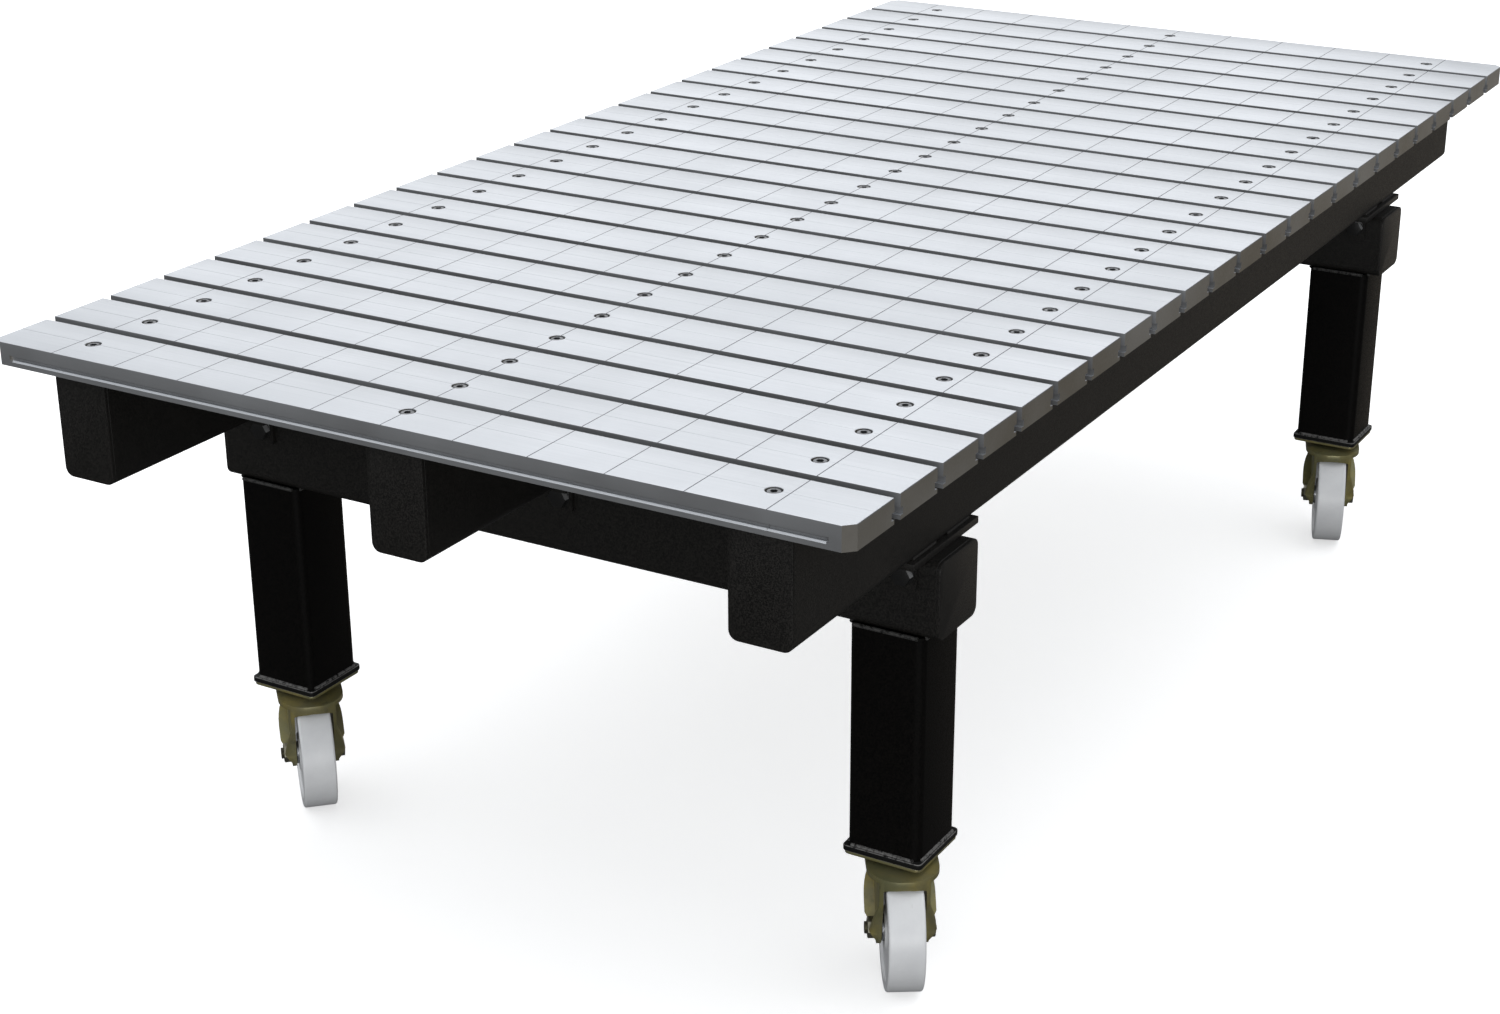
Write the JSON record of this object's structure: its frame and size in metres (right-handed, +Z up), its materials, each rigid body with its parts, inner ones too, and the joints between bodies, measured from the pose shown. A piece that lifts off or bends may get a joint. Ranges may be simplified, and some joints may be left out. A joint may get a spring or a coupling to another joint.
{
  "type": "welding_table",
  "caption": "Welding table with a slatted steel T-slot top on a black tube frame, standing on four swivel casters with white wheels",
  "frame": {"origin": "On the floor, under the middle of the table", "axes": "+X along the table's length, from the front end to the back end; +Y across it; +Z up"},
  "size_m": [2.4, 1.2, 0.768],
  "materials": {
    "planed_steel": "planed, with scribed lines",
    "black_paint": "satin black, fine orange peel",
    "bright_zinc": "bright zinc plated",
    "yellow_zinc": "yellow chromated zinc",
    "white_nylon": "moulded, slightly worn",
    "bush_steel": "turned"
  },
  "bodies": {
    "table": {"slat_01": "planed_steel", "slat_02": "planed_steel", "slat_03": "planed_steel", "slat_04": "planed_steel", "slat_05": "planed_steel", "slat_06": "planed_steel", "slat_07": "planed_steel", "slat_08": "planed_steel", "slat_09": "planed_steel", "slat_10": "planed_steel", "slat_11": "planed_steel", "slat_12": "planed_steel", "slat_13": "planed_steel", "slat_14": "planed_steel", "slat_15": "planed_steel", "slat_16": "planed_steel", "slat_17": "planed_steel", "slat_18": "planed_steel", "slat_19": "planed_steel", "slat_20": "planed_steel", "slat_21": "planed_steel", "slat_22": "planed_steel", "slat_23": "planed_steel", "slat_24": "planed_steel", "long_beam_left": "black_paint", "long_beam_middle": "black_paint", "long_beam_right": "black_paint", "cross_beam_front": "black_paint", "cross_beam_back": "black_paint", "crossing_bolt_front_left": "bright_zinc", "crossing_bolt_front_middle": "bright_zinc", "crossing_bolt_front_right": "bright_zinc", "crossing_bolt_back_left": "bright_zinc", "crossing_bolt_back_middle": "bright_zinc", "crossing_bolt_back_right": "bright_zinc", "leg_front_left": "black_paint", "leg_front_right": "black_paint", "leg_back_left": "black_paint", "leg_back_right": "black_paint", "caster_plate_front_left": "yellow_zinc", "caster_plate_front_right": "yellow_zinc", "caster_plate_back_left": "yellow_zinc", "caster_plate_back_right": "yellow_zinc"},
    "fork_body_front_left": {"fork_front_left": "yellow_zinc", "axle_front_left": "bright_zinc"},
    "wheel_body_front_left": {"wheel_front_left": "white_nylon", "bush_front_left": "bush_steel"},
    "fork_body_front_right": {"fork_front_right": "yellow_zinc", "axle_front_right": "bright_zinc"},
    "wheel_body_front_right": {"wheel_front_right": "white_nylon", "bush_front_right": "bush_steel"},
    "fork_body_back_left": {"fork_back_left": "yellow_zinc", "axle_back_left": "bright_zinc"},
    "wheel_body_back_left": {"wheel_back_left": "white_nylon", "bush_back_left": "bush_steel"},
    "fork_body_back_right": {"fork_back_right": "yellow_zinc", "axle_back_right": "bright_zinc"},
    "wheel_body_back_right": {"wheel_back_right": "white_nylon", "bush_back_right": "bush_steel"}
  },
  "joints": [
    {"name": "swivel_front_left", "type": "hinge", "parent": "table", "child": "fork_body_front_left", "pos_m": [-0.82, 0.47, 0.1655], "axis": [0, 0, 1], "continuous": true},
    {"name": "spin_front_left", "type": "hinge", "parent": "fork_body_front_left", "child": "wheel_body_front_left", "pos_m": [-0.84475, 0.44525, 0.08], "axis": [-0.7071, 0.7071, 0], "continuous": true},
    {"name": "swivel_front_right", "type": "hinge", "parent": "table", "child": "fork_body_front_right", "pos_m": [-0.82, -0.47, 0.1655], "axis": [0, 0, 1], "continuous": true},
    {"name": "spin_front_right", "type": "hinge", "parent": "fork_body_front_right", "child": "wheel_body_front_right", "pos_m": [-0.84952, -0.4888, 0.08], "axis": [-0.5373, 0.8434, 0], "continuous": true},
    {"name": "swivel_back_left", "type": "hinge", "parent": "table", "child": "fork_body_back_left", "pos_m": [0.82, 0.47, 0.1655], "axis": [0, 0, 1], "continuous": true},
    {"name": "spin_back_left", "type": "hinge", "parent": "fork_body_back_left", "child": "wheel_body_back_left", "pos_m": [0.78969, 0.4525, 0.08], "axis": [-0.5, 0.866, 0], "continuous": true},
    {"name": "swivel_back_right", "type": "hinge", "parent": "table", "child": "fork_body_back_right", "pos_m": [0.82, -0.47, 0.1655], "axis": [0, 0, 1], "continuous": true},
    {"name": "spin_back_right", "type": "hinge", "parent": "fork_body_back_right", "child": "wheel_body_back_right", "pos_m": [0.78722, -0.48226, 0.08], "axis": [-0.3502, 0.9367, 0], "continuous": true}
  ]
}
